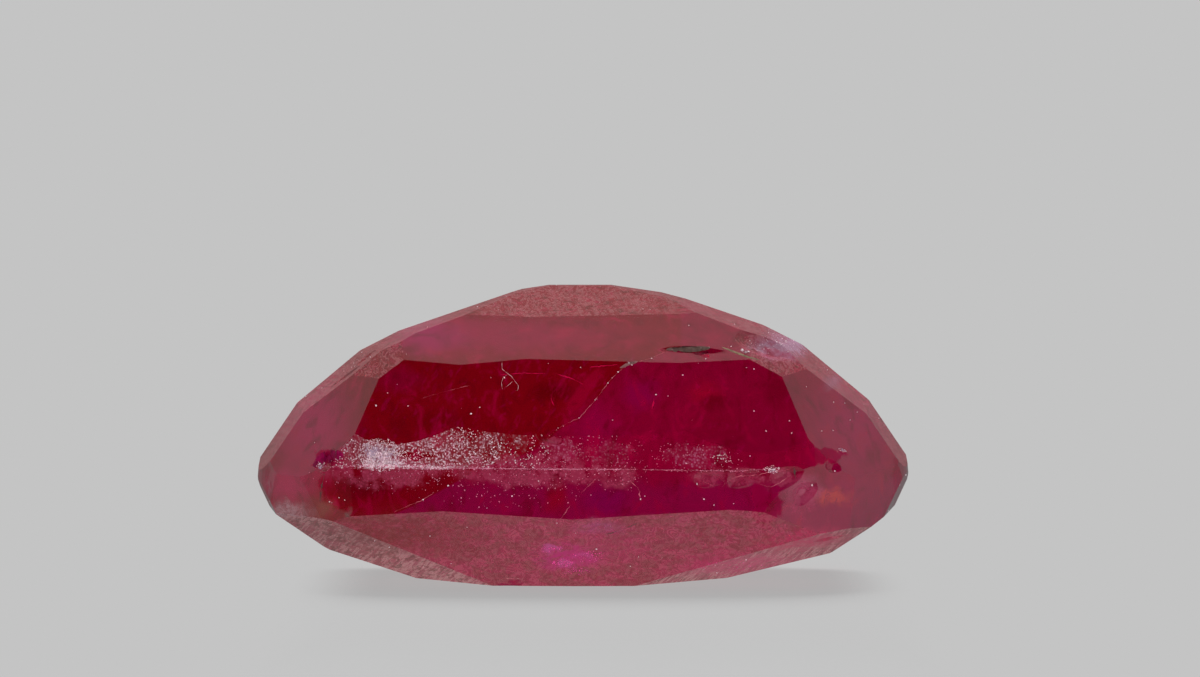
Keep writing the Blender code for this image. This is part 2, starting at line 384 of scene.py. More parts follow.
# Milky lavender on the chipped shoulder: the same columns
SCAR = (
    ("lavender", (788, 344), (54, 18), (0.86, 0.40, 0.62, 1.0), 0.9),
    ("bright streak", (782, 349), (44, 5), (0.96, 0.62, 0.84, 1.0), 0.8),
    ("bright middle", (794, 343), (18, 8), (0.90, 0.46, 0.72, 1.0), 0.7),
    ("lavender by the corner", (833, 381), (15, 8), (0.74, 0.28, 0.46, 1.0), 0.6),
    ("chip low right", (806, 491), (26, 20), (0.90, 0.12, 0.28, 1.0), 0.9),
    ("pale tip of the left bevel", (286, 511), (34, 13), (0.98, 0.50, 0.58, 1.0), 0.9),
)

# Sugary frosting on the girdle wall above its ridge: name, middle and reach in pixels, strength
FROSTED_PATCHES = (
    ("left run", (406, 450), (96, 34), 1.3),
    ("left run, right part", (498, 450), (54, 28), 0.55),
    ("middle cluster", (562, 451), (24, 17), 0.62),
    ("middle run", (606, 453), (42, 19), 0.32),
    ("right run", (696, 457), (48, 17), 0.44),
)

# Barer places within the frosting: the same columns
BARE_PATCHES = (
    ("bare streak", (414, 456), (38, 8), 1.0),
    ("bare left end", (338, 457), (22, 13), 0.9),
    ("bare right part", (515, 452), (55, 20), 0.45),
    ("bare beside the fracture", (536, 459), (24, 11), 0.7),
)

# Grains on each square pixel of a patch
FROST_DENSITY, SUGAR_DENSITY, WHITE_DENSITY, GLOW_DENSITY = 0.14, 0.05, 0.60, 0.60

# Milky haze just under the surface: name, middle and reach in pixels, strength
HAZY_PATCHES = (
    ("under the ridge, middle", (535, 471), (118, 20), 0.75),
    ("under the ridge, left", (385, 472), (78, 22), 0.75),
    ("under the ridge, right", (622, 476), (30, 17), 0.5),
    ("around the chips", (735, 477), (66, 13), 0.45),
    ("beside the ridge, right", (775, 476), (24, 12), 1.0),
    ("chip on the fracture", (548, 441), (14, 8), 1.0),
    ("right of the low window", (800, 512), (26, 26), 0.5),
    ("low middle rise", (665, 518), (34, 8), 0.5),
)

# Places outside the dark windows that are too rough to mirror anything
DULL_PATCHES = (
    ("notch", (327, 460), (17, 10), 1.0),
    ("left end under the ridge", (347, 487), (30, 27), 1.0),
    ("left tip", (264, 490), (10, 34), 0.55),
    ("right tip", (903, 488), (10, 34), 0.3),
    ("right end of the low window", (766, 500), (17, 36), 1.0),
    ("opening", (701, 353), (12, 4), 0.8),
    ("wedge right of the window", (817, 456), (34, 9), 1.0),
    ("shoulder scar", (794, 343), (46, 17), 0.9),
)

# A few grains on the scar, and some below the girdle
SCAR_GRAINS = ("shoulder scar", (785, 343), (40, 13), 1.0)
LOW_GRAINS = ("purple window", (500, 494), (85, 15), 0.5)

# Painted glow: hot pink grains that stand in for light coming up through the stone: the same columns
GLOW_GRAINS = (
    ("bright spot", (563, 563), (11, 5), 1.0),
    ("above it", (552, 549), (11, 4), 0.6),
    ("right of it", (586, 556), (18, 6), 0.4),
    ("below it", (576, 571), (15, 4), 0.5),
    ("low right", (745, 566), (50, 5), 0.05),
)

# Thick lavender frosting, and two painted glints, on the corner and on the wall: name, middle and reach
# in pixels, strength
WHITE_PATCHES = (
    ("bright sugar", (380, 455), (21, 17), 1.0),
    ("brightest, by the ridge", (384, 462), (22, 5), 1.0),
    ("dot in the notch", (320, 464.5), (5, 4), 1.0),
    ("glint on the corner", (843, 450), (5, 3), 0.5),
    ("chip beside the ridge", (772, 469.5), (8, 4), 0.9),
    ("glint on the wall", (722, 459), (10, 6), 0.25),
)


def camera_rays(pixels):
    """The camera's place, and directions from it through the photograph's pixels."""
    place, right, up, forward = camera_axes()
    pixels = np.asarray(pixels, float)
    focal = LENS / SENSOR * FRAME_WIDTH
    across = (pixels[:, :1] - FRAME_WIDTH / 2) / focal
    down = (pixels[:, 1:] - FRAME_HEIGHT / 2) / focal
    rays = forward + across * right - down * up
    return place, rays / np.linalg.norm(rays, axis=1, keepdims=True)


def in_front(pixels):
    """Places in millimetres at FRONT_DEPTH that show at these pixels."""
    place, rays = camera_rays(pixels)
    return place + rays * ((FRONT_DEPTH - place[1]) / rays[:, 1:2])


def stone_triangles():
    """The corners of the stone's triangles in millimetres, as an array of n x 3 x 3."""
    mesh = STONE.data
    corners = np.empty(len(mesh.vertices) * 3)
    mesh.vertices.foreach_get("co", corners)
    turn = np.array(STONE.matrix_world)
    corners = corners.reshape(-1, 3) @ turn[:3, :3].T + turn[:3, 3]
    loops = np.empty(len(mesh.loops), int)
    mesh.loops.foreach_get("vertex_index", loops)
    return (corners / MM)[loops].reshape(-1, 3, 3)


TRIANGLES = stone_triangles()
# What carries a direction half a turn round the stone
BEHIND = np.array([-1.0, -1.0, 1.0])


def strike(pixels, behind=False):
    """Where the pixels' rays meet the stone: which do, the points, and the outward normals there.
    A ray o + t d meets a triangle a, b, c where o + t d = a + u (b - a) + v (c - a). Rays from behind
    start at the camera's place carried half a turn round the stone."""
    origin, rays = camera_rays(pixels)
    if behind:
        origin, rays = origin * BEHIND, rays * BEHIND
    a = TRIANGLES[:, 0]
    first, second = TRIANGLES[:, 1] - a, TRIANGLES[:, 2] - a
    outward = np.cross(first, second)
    lean = -rays @ outward.T
    lean = np.where(lean > 1e-9, lean, np.nan)
    u = rays @ np.cross(second, origin - a).T / lean
    v = rays @ np.cross(origin - a, first).T / lean
    t = np.sum((origin - a) * outward, axis=1) / lean
    inside = (u >= -1e-5) & (v >= -1e-5) & (u + v <= 1 + 1e-5)
    t = np.where(inside, t, np.inf)
    nearest = np.argmin(t, axis=1)
    reach = t[np.arange(len(rays)), nearest]
    met = np.isfinite(reach)
    points = origin + rays[met] * reach[met, None]
    normals = outward[nearest[met]]
    return met, points, normals / np.linalg.norm(normals, axis=1, keepdims=True)


def patch(tree, flat, middle, reach, soft=0.35):
    """One inside an upright ellipse seen from the front, falling to nothing at its rim."""
    met, struck, _ = strike([middle])
    x, _, z = (struck if met[0] else in_front([middle]))[0]
    wide, high = reach[0] * MM_PER_PIXEL, reach[1] * MM_PER_PIXEL
    node = add(
        tree,
        "ShaderNodeMapping",
        {"Vector": flat, "Location": (-x / wide, 0, -z / high), "Scale": (1 / wide, 0, 1 / high)},
    )
    away = add(tree, "ShaderNodeVectorMath", {0: node.outputs[0]}, operation="LENGTH").outputs["Value"]
    return ramp(tree, away, 1.0, soft)


def past_fracture(tree, flat):
    """How many millimetres to the right of the healed fracture a place lies."""
    run = in_front(FRACTURE)[:, (2, 0)]
    low, high = run[:, 0].min(), run[:, 0].max()
    parts = add(tree, "ShaderNodeSeparateXYZ", {0: flat})
    height = ramp(tree, parts.outputs["Z"], low, high, smooth=False)
    curve = add(tree, "ShaderNodeFloatCurve", {"Factor": 1.0, "Value": height})
    line = curve.mapping.curves[0]
    for at, across in run[1:-1]:
        line.points.new((at - low) / (high - low), across / LENGTH_OF_STONE + 0.5)
    for point, (at, across) in zip((line.points[0], line.points[-1]), (run[0], run[-1])):
        point.location = ((at - low) / (high - low), across / LENGTH_OF_STONE + 0.5)
    curve.mapping.update()
    edge = maths(tree, "MULTIPLY_ADD", curve.outputs[0], LENGTH_OF_STONE, -LENGTH_OF_STONE / 2)
    return maths(tree, "SUBTRACT", parts.outputs["X"], edge)


def strongest(tree, masks):
    """The greatest of several masks."""
    top = masks[0]
    for mask in masks[1:]:
        top = maths(tree, "MAXIMUM", top, mask)
    return top


def patches(tree, flat, table, soft=0.35):
    """The strongest of a table's patches at each place."""
    masks = []
    for _, middle, reach, strength in table:
        masks.append(times(tree, patch(tree, flat, middle, reach, soft), strength))
    return strongest(tree, masks)


# The upward part of a flat's direction, climb, and its part along the stone, sideways, tell its row.
# Each pair holds where its mask is nothing and where it is whole.
WALL_CLIMB = (0.16, 0.12)
UPWARD = (-0.02, 0.02)
LOW_WALL_TOP, LOW_WALL_FOOT = (-0.05, -0.10), (-0.62, -0.50)
LOW_WALL_SIDE = (0.48, 0.38)
DOME_CLIMB = (0.90, 0.94)
TIPS_CLIMB, TIPS_SIDE = (0.50, 0.54), (0.34, 0.40)
UNDER_CLIMB = (-0.66, -0.72)
BEVEL_CLIMB = (-0.88, -0.92)

# The lighter band beside the fracture, in millimetres to its right, and the fracture's own edge
FRACTURE_EDGE = (-0.03, 0.05)
BAND_NEAR, BAND_FAR = (-0.20, -0.32), (-0.66, -0.54)
BAND_MIDDLE, BAND_REACH = (590, 392), (40, 32)
# The height in millimetres over which the right part turns from magenta to crimson
CRIMSON_HEIGHTS = (2.75, 2.30)

# Lengths in millimetres of clouds, wisps and scratches along, across and up the stone
CLOUD_SIZE = (0.45, 0.45, 0.80)
WISP_SIZE, WISP_TURN = (0.14, 0.33, 0.33), (0.0, 0.5, 0.0)
COMB_SIZE, COMB_TURN = (0.075, 1.60, 0.60), (0.0, 0.0, 0.14)
SWIRL_SIZE, CURLS = (0.29, 0.70, 0.29), 14.0
STROKE_SIZE, STROKE_TURN = (0.16, 1.60, 0.30), (0.0, 0.0, 0.20)

# Colours of the streaks and shades in those patterns
BAND_RED = (0.70, 0.001, 0.050, 1.0)
CLOUD_RED = (0.78, 0.001, 0.080, 1.0)
CLOUD_DARK = (0.28, 0.0008, 0.010, 1.0)
WISP_PINK = (0.80, 0.001, 0.130, 1.0)
# Painted shade for the wall below the girdle, which faces a little downward
PAINTED_WALL_SHADE = (0.16, 0.0005, 0.015, 1.0)
GAP_RED = (0.36, 0.02, 0.05, 1.0)
NICK_BROWN = (0.30, 0.06, 0.05, 1.0)

Rows = namedtuple("Rows", "climb sideways upper_wall dome tips under bevel")


def drifted(tree, place):
    """A place shifted by a slow noise, so that the edge of a patch wanders."""
    drift = add(tree, "ShaderNodeTexNoise", {"Vector": place, "Scale": 3.0, "Detail": 3.0})
    links = {0: drift.outputs["Color"], 1: (0.5,) * 3}
    drift = add(tree, "ShaderNodeVectorMath", links, operation="SUBTRACT")
    drift = add(tree, "ShaderNodeVectorMath", {0: drift.outputs[0], "Scale": 0.5}, operation="SCALE")
    return add(tree, "ShaderNodeVectorMath", {0: place, 1: drift.outputs[0]}).outputs[0]


def rows_of_flats(tree, climb, sideways):
    """The masks of the rows of flats."""
    wall = ramp(tree, maths(tree, "ABSOLUTE", climb), *WALL_CLIMB)
    upper_wall = times(tree, wall, ramp(tree, climb, *UPWARD))
    dome = ramp(tree, climb, *DOME_CLIMB)
    tips = times(tree, ramp(tree, climb, *TIPS_CLIMB), ramp(tree, sideways, *TIPS_SIDE))
    under = ramp(tree, climb, *UNDER_CLIMB)
    bevel = ramp(tree, climb, *BEVEL_CLIMB)
    return Rows(climb, sideways, upper_wall, dome, tips, under, bevel)


def inner_colour(tree, place, flat, past, right):
    """The zones, tints, clouds and wisps of red within the stone."""
    low = ramp(tree, add(tree, "ShaderNodeSeparateXYZ", {0: flat}).outputs["Z"], *CRIMSON_HEIGHTS)
    body = blend(tree, right, BLOOD_RED, blend(tree, low, CRIMSON, MAGENTA))
    for _, middle, reach, colour, strength in TINTS:
        share = times(tree, patch(tree, flat, middle, reach, 0.1), strength)
        body = blend(tree, share, body, colour)
    band = times(tree, ramp(tree, past, *BAND_FAR), ramp(tree, past, *BAND_NEAR))
    band = times(tree, band, patch(tree, flat, BAND_MIDDLE, BAND_REACH))
    body = blend(tree, times(tree, band, 0.8), body, BAND_RED)
    clouds = noise(tree, stretched(tree, place, CLOUD_SIZE), 1.0, 3.0, 0.65, 0.8)
    body = blend(tree, ramp(tree, clouds, 0.53, 0.70, 0.0, 0.65), body, CLOUD_RED)
    body = blend(tree, ramp(tree, clouds, 0.50, 0.30, 0.0, 0.55), body, CLOUD_DARK)
    wisps = noise(tree, stretched(tree, place, WISP_SIZE, WISP_TURN), 1.0, 2.0, 0.6, 1.0)
    return blend(tree, ramp(tree, wisps, 0.55, 0.72, 0.0, 0.35), body, WISP_PINK)


def painted_shade_low_wall(tree, rows, body):
    """Painted shade: the wall below the girdle, which faces a little downward, darkened toward a deeper
    red.
    """
    top, foot = ramp(tree, rows.climb, *LOW_WALL_TOP), ramp(tree, rows.climb, *LOW_WALL_FOOT)
    low_wall = times(tree, top, foot)
    low_wall = times(tree, low_wall, ramp(tree, rows.sideways, *LOW_WALL_SIDE))
    return blend(tree, times(tree, low_wall, 0.25), body, PAINTED_WALL_SHADE)


def scratched_colour(tree, place, clumps, rows, body):
    """Pink hair-like scratches with brown nicks and spots, and the curled pattern they follow. The
    underside flats also get brown mottling with lighter rose between, the rose being painted light from
    below.
    """
    # Underside flats: brown mottling, and rose between it as painted light from below
    underside_brown_and_underlight = blend(tree, ramp(tree, clumps, 0.42, 0.58), BROWN, PAINTED_UNDERLIGHT_ROSE)
    body = blend(tree, times(tree, rows.under, 0.55), body, underside_brown_and_underlight)
    tops = strongest(tree, [rows.dome, rows.tips])
    combing = strongest(tree, [rows.bevel, times(tree, tops, 0.45)])
    comb = noise(tree, stretched(tree, place, COMB_SIZE, COMB_TURN), 1.0, 2.0, 0.6, 0.6)
    swirl = noise(tree, stretched(tree, place, SWIRL_SIZE), 1.0, 2.0, 0.55, 0.8)
    curls = maths(tree, "PINGPONG", times(tree, swirl, CURLS), 1.0)
    combed = ramp(tree, comb, 0.36, 0.64, smooth=False)
    strands = blend_value(tree, times(tree, combing, 0.8), curls, combed)
    hair = ramp(tree, strands, 0.25, 0.75)
    shares = ((rows.under, 0.24), (rows.dome, 0.44), (rows.tips, 0.44), (rows.bevel, 0.92))
    fur = strongest(tree, [times(tree, mask, share) for mask, share in shares])
    gaps = maths(tree, "SUBTRACT", 1.0, hair)
    gaps = times(tree, gaps, times(tree, rows.under, 0.34))
    body = blend(tree, gaps, body, GAP_RED)
    shown = times(tree, fur, maths(tree, "MULTIPLY_ADD", hair, 0.7, 0.3))
    body = blend(tree, shown, body, HAIR_PINK)
    strokes = noise(tree, stretched(tree, place, STROKE_SIZE, STROKE_TURN), 1.0, 1.0, 0.5, 0.8)
    nicks = apart(tree, strokes, 0.46)
    nicks = times(tree, ramp(tree, nicks, 0.050, 0.0), times(tree, fur, 0.85))
    spots = times(tree, ramp(tree, clumps, 0.44, 0.34, 0.0, 0.8), tops)
    return blend(tree, maths(tree, "MAXIMUM", nicks, spots), body, NICK_BROWN), curls


def painted_glow_colour(tree, place, flat, curls, body):
    """Light that comes up through the stone in flames, painted into its colour as glow, and the milky
    scar.
    """
    flames = noise(tree, place, 5.0, 2.0, 0.6, 1.0)
    flames = ramp(tree, flames, 0.36, 0.56, 0.35, 1.0)
    for _, middle, reach, colour, strength in PAINTED_GLOWS:
        share = times(tree, flames, strength)
        share = times(tree, patch(tree, flat, middle, reach, 0.1), share)
        body = blend(tree, share, body, colour)
    for _, middle, reach, colour, strength in SCAR:
        share = times(tree, maths(tree, "MULTIPLY_ADD", curls, 0.5, 0.5), strength)
        share = times(tree, patch(tree, flat, middle, reach, 0.2), share)
        body = blend(tree, share, body, colour)
    return body


def frosted_colour(tree, place, flat, clumps, rows, right, body):
    """Milky haze, sugary frost on the upper wall, and thick white frost with two painted glints: the
    colour, and their masks.
    """
    uneven = maths(tree, "MULTIPLY_ADD", clumps, 4.0, -1.0)
    haze = patches(tree, flat, HAZY_PATCHES)
    ragged = maths(tree, "MULTIPLY_ADD", clumps, 6.0, -2.0)
    haze = ramp(tree, times(tree, haze, ragged), 0.05, 0.80, 0.0, 0.80)
    sugar = dots(tree, place, 17.0, 0.62)
    milky = times(tree, haze, maths(tree, "MULTIPLY_ADD", sugar, 0.6, 0.6))
    body = blend(tree, milky, body, MAUVE)
    bare = maths(tree, "SUBTRACT", 1.0, patches(tree, flat, BARE_PATCHES))
    frost = times(tree, patches(tree, flat, FROSTED_PATCHES), bare)
    frost = ramp(tree, times(tree, frost, uneven), 0.10, 0.70)
    frost = times(tree, frost, rows.upper_wall)
    grains = times(tree, frost, maths(tree, "MULTIPLY_ADD", sugar, 1.15, 0.08))
    body = blend(tree, grains, body, blend(tree, right, FROST_PINK, FROST_ROSE))
    lumps = maths(tree, "MULTIPLY_ADD", sugar, 1.0, 0.30)
    white = times(tree, patches(tree, flat, WHITE_PATCHES), lumps)
    white = ramp(tree, times(tree, white, uneven), 0.05, 0.75)
    return blend(tree, white, body, LAVENDER), frost, haze, white


def ruby_material():
    """See-through red corundum under a polished skin. Each flat's finish follows the way it faces,
    because every row was ground on another wheel. The way a flat faces also sets painted shade on the
    wall below the girdle and painted light on the underside flats."""
    material, tree = new_material("ruby")
    place = place_in_mm(tree)
    shape = add(tree, "ShaderNodeNewGeometry")
    facing = add(tree, "ShaderNodeSeparateXYZ", {0: shape.outputs["True Normal"]})
    sideways = maths(tree, "ABSOLUTE", facing.outputs["X"])
    flat = drifted(tree, place)
    rows = rows_of_flats(tree, facing.outputs["Z"], sideways)
    past = past_fracture(tree, place)
    right = ramp(tree, past, *FRACTURE_EDGE)
    body = inner_colour(tree, place, flat, past, right)
    # Painted shade on the wall below the girdle
    body = painted_shade_low_wall(tree, rows, body)
    clumps = noise(tree, place, 2.6, 3.0, 0.75)
    body, curls = scratched_colour(tree, place, clumps, rows, body)
    body = painted_glow_colour(tree, place, flat, curls, body)
    body, frost, haze, white = frosted_colour(tree, place, flat, clumps, rows, right, body)

    crossed = times(tree, strongest(tree, [rows.dome, rows.tips, rows.bevel]), 0.80)
    dull = patches(tree, flat, DULL_PATCHES, 0.75)
    cloudy = [times(tree, haze, 0.6), crossed, times(tree, rows.under, 0.25)]
    matt = strongest(tree, [frost, dull, white] + cloudy)
    skin = add(
        tree,
        "ShaderNodeBsdfPrincipled",
        {
            "Base Color": body,
            "Roughness": ramp(tree, frost, 0.0, 1.0, CLOUDY, FROSTED, smooth=False),
            "IOR": IOR,
            "Transmission Weight": SEE_THROUGH,
            "Specular IOR Level": 0.0,
            "Specular Tint": (0.0, 0.0, 0.0, 1.0),
            "Coat Weight": maths(tree, "MULTIPLY_ADD", matt, -0.9, 1.0),
            "Coat Roughness": 0.03,
            "Coat IOR": IOR,
        },
    )
    density = max(TAKEN_PER_MM) / MM
    colour = [1.0 - taken / max(TAKEN_PER_MM) for taken in TAKEN_PER_MM]
    depth = add(tree, "ShaderNodeVolumeAbsorption", {"Color": (*colour, 1.0), "Density": density})
    add(tree, "ShaderNodeOutputMaterial", {"Surface": skin.outputs[0], "Volume": depth.outputs[0]})
    return material


def dress_stone():
    """Gives the CAD node its material."""
    STONE.material_slots[0].material = ruby_material()


def make_speckle():
    """A node group that darkens a colour to its half in places, by as much as its unevenness says."""
    group = bpy.data.node_groups.new("speckle", "ShaderNodeTree")
    group.interface.new_socket(name="Colour", in_out="INPUT", socket_type="NodeSocketColor")
    group.interface.new_socket(name="Unevenness", in_out="INPUT", socket_type="NodeSocketFloat")
    group.interface.new_socket(name="Colour", in_out="OUTPUT", socket_type="NodeSocketColor")
    given = add(group, "NodeGroupInput").outputs
    low = maths(group, "SUBTRACT", 1.0, given["Unevenness"])
    tone = ramp(group, noise(group, place_in_mm(group), 9.0, 2.0), 0.35, 0.65, low, 1.0)
    dark = add(group, "ShaderNodeVectorMath", {0: given["Colour"], "Scale": 0.5}, operation="SCALE")
    add(group, "NodeGroupOutput", {0: blend(group, tone, dark.outputs[0], given["Colour"])})
    return group


SPECKLE = make_speckle()


def plain_material(name, colour, roughness=0.4, speckle=0.0, shine=0.1):
    """A matt finish whose lightness varies a little from place to place."""
    material, tree = new_material(name)
    shade = add(tree, "ShaderNodeGroup", node_tree=SPECKLE)
    shade.inputs["Colour"].default_value = colour
    shade.inputs["Unevenness"].default_value = speckle
    finish = {"Base Color": shade.outputs["Colour"], "Roughness": roughness, "Specular IOR Level": shine}
    skin = add(tree, "ShaderNodeBsdfPrincipled", finish)
    add(tree, "ShaderNodeOutputMaterial", {"Surface": skin.outputs[0]})
    return material


def piece(name, points, faces, material):
    """A mesh in place on the stone, from corners in millimetres and faces as lists of corners."""
    mesh = bpy.data.meshes.new(name)
    mesh.from_pydata((points * MM).tolist(), [], faces)
    mesh.materials.append(material)
    made = bpy.data.objects.new(name, mesh)
    bpy.context.scene.collection.objects.link(made)
    STONE_GROUP.objects.link(made)
    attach(made, "root")
    return made


def random_turns(count, chance):
    """Rotation matrices spread evenly, from unit quaternions w, x, y, z."""
    drawn = chance.normal(size=(4, count))
    w, x, y, z = drawn / np.linalg.norm(drawn, axis=0)
    rows = (
        (1 - 2 * (y * y + z * z), 2 * (x * y - w * z), 2 * (x * z + w * y)),
        (2 * (x * y + w * z), 1 - 2 * (x * x + z * z), 2 * (y * z - w * x)),
        (2 * (x * z - w * y), 2 * (y * z + w * x), 1 - 2 * (x * x + y * y)),
    )
    return np.array(rows).transpose(2, 0, 1)


# A grain's corners and faces before it is turned and stretched
SHARD_CORNERS = np.array([(1, 0, 0), (-1, 0, 0), (0, 1, 0), (0, -1, 0), (0, 0, 1), (0, 0, -1)], float)
SHARD_FACES = np.array(
    [(0, 2, 4), (2, 1, 4), (1, 3, 4), (3, 0, 4), (2, 0, 5), (1, 2, 5), (3, 1, 5), (0, 3, 5)]
)


def shards(name, points, sizes, material, chance):
    """Tiny eight-sided grains: every corner is point + size * turn @ (stretch * unit corner)."""
    count = len(points)
    stretch = chance.uniform(0.5, 1.3, size=(count, 1, 3))
    turned = np.einsum("nij,nkj->nki", random_turns(count, chance), SHARD_CORNERS * stretch)
    corners = points[:, None] + turned * np.asarray(sizes)[:, None, None]
    faces = SHARD_FACES + 6 * np.arange(count)[:, None, None]
    return piece(name, corners.reshape(-1, 3), faces.reshape(-1, 3).tolist(), material)


# Corners round a strand
RING = 6


def along(pixels, step):
    """Pixels evenly spaced along a run of straight lines."""
    pixels = np.asarray(pixels, float)
    gone = np.concatenate([[0], np.cumsum(np.linalg.norm(np.diff(pixels, axis=0), axis=1))])
    at = np.linspace(0, gone[-1], max(3, int(gone[-1] / step) + 1))
    return np.stack([np.interp(at, gone, pixels[:, 0]), np.interp(at, gone, pixels[:, 1])], 1)


def cords(name, runs, material, lift=0.0, flatness=0.4):
    """Thin closed strands half sunk in the surface. Each run holds points, outward normals and half
    widths w; round a point p, with n outward and b across, the ring is
    p + lift n + w (cos a b + flatness sin a n)."""
    turns = np.arange(RING) * 2 * math.pi / RING
    corners, faces, first = [], [], 0
    for points, normals, widths in runs:
        ahead = np.gradient(points, axis=0)
        across = np.cross(normals, ahead)
        across /= np.linalg.norm(across, axis=1, keepdims=True)
        side = np.cos(turns)[None, :, None] * across[:, None]
        rise = np.sin(turns)[None, :, None] * normals[:, None] * flatness
        ring = (points + lift * normals)[:, None] + (side + rise) * widths[:, None, None]
        corners.append(ring.reshape(-1, 3))
        start = first + RING * np.arange(len(points) - 1)[:, None]
        here = np.arange(RING)[None, :]
        after = (here + 1) % RING
        walls = np.stack([start + here, start + after, start + RING + after, start + RING + here], -1)
        faces += walls.reshape(-1, 4).tolist()
        faces.append((first + np.arange(RING))[::-1].tolist())
        first += RING * len(points)
        faces.append((first - RING + np.arange(RING)).tolist())
    return piece(name, np.concatenate(corners), faces, material)


def wavering(count, chance, spacing=4):
    """Random values from 0 to 1, one for each point of a line, that change evenly between knots."""
    knots = chance.uniform(size=max(2, count // spacing + 2))
    return np.interp(np.linspace(0, len(knots) - 1, count), np.arange(len(knots)), knots)


def surface_run(pixels, width, chance, wobble=0.5, step=1.2, gaps=0.0, behind=False):
    """A line over the stone's surface with tapered ends and an uneven width in pixels."""
    spots = along(pixels, step)
    spots[1:-1] += chance.normal(size=(len(spots) - 2, 2)) * wobble * 0.4
    _, points, normals = strike(spots, behind)
    count = len(points)
    taper = np.clip(np.minimum(np.arange(count), np.arange(count)[::-1]) / 3.0, 0.25, 1.0)
    beat = wavering(count, chance)
    widths = width * MM_PER_PIXEL / 2 * taper * np.clip((beat - gaps) / (1 - gaps), 0.12, 1.0)
    return points, normals, widths


# The worn ridge of the girdle: pixels along each run and its width in pixels
RIDGE_RUNS = (
    (((322, 466.5), (360, 466)), 1.2),
    (((358, 466), (400, 466), (452, 468)), 2.8),
    (((450, 468), (545, 469), (637, 469.5)), 1.6),
    (((643, 469.5), (700, 470.5), (742, 471), (768, 469)), 1.3),
)

# The run of the ridge that is bright, and grains on each pixel of a run one pixel wide
BRIGHT_RUN, RIDGE_DENSITY = 1, 0.35

# Fine cracks and scratches: name, pixels and width
PALE_LINES = (
    ("foot of the fracture", ((394, 512), (413, 504), (423, 500), (433, 493)), 0.8),
    ("dash beside the ridge", ((703, 481), (713, 485.5)), 0.8),
    ("arc by the ridge", ((722, 487), (729, 480.5), (739, 476), (757, 475)), 1.1),
    ("lower edge of the chip", ((760, 484.5), (770, 487), (780, 483), (790, 475)), 1.2),
    ("upper edge of the chip", ((757, 475.5), (770, 472), (785, 470.5)), 1.0),
    ("dotted line low middle", ((558, 523), (570, 506)), 0.8),
    ("line by the purple", ((581, 493), (595, 480)), 1.2),
    ("stream right of the purple", ((630, 481), (638, 488), (641, 499)), 1.0),
    ("line in the left window", ((420, 399), (437, 393.5), (470, 385)), 0.35),
)

# Dark cracks, and a painted shadow under the opening: name, pixels and width
DARK_LINES = (
    ("crack at the left end", ((325, 470), (321.5, 488), (320, 502)), 2.8),
    ("line under the low window", ((606, 534.5), (622, 530), (638, 523)), 1.4),
    ("nick right of the chips", ((794, 468), (796, 480)), 3.0),
    ("shadow under the opening", ((696, 353), (707, 354)), 2.6),
    ("opening", ((670, 348.5), (685, 347), (711, 347.5)), 2.4),
)

# Healed crimson lines seen just under the polish: name, pixels and width
CRIMSON_LINES = (
    ("arc", ((556, 374), (564, 376), (573, 379), (583, 384)), 1.6),
    ("upper arc", ((500, 375), (522, 373), (545, 373.5)), 1.0),
    ("streak by the opening", ((590, 367), (603, 366), (617, 364.5)), 1.6),
    ("red streak on the right", ((654, 399), (652, 409)), 2.0),
    ("short streak low left", ((551, 398), (554, 406)), 1.8),
)

# Fillings flush with the surface, the opening's hole among them as painted shade: name, pixels, width in
# pixels and colour
FILLINGS = (
    ("opening_fill", ((666, 349.5), (680, 349.5), (695, 349), (710, 348)), 6.0, (0.20, 0.13, 0.11, 1.0)),
    ("opening_hole_painted_shade", ((693, 353.5), (701, 354), (708, 351.5)), 4.5, (0.17, 0.002, 0.020, 1.0)),
    ("scar_lip", ((722, 347), (737, 353), (748, 357), (760, 360)), 3.2, (0.27, 0.20, 0.12, 1.0)),
    ("fracture_head", ((620, 368), (628, 364), (638, 361.5)), 3.0, (0.26, 0.12, 0.12, 1.0)),
    ("notch_fill", ((313, 465), (321, 461), (331, 456), (343, 455)), 14.0, (0.28, 0.002, 0.060, 1.0)),
)

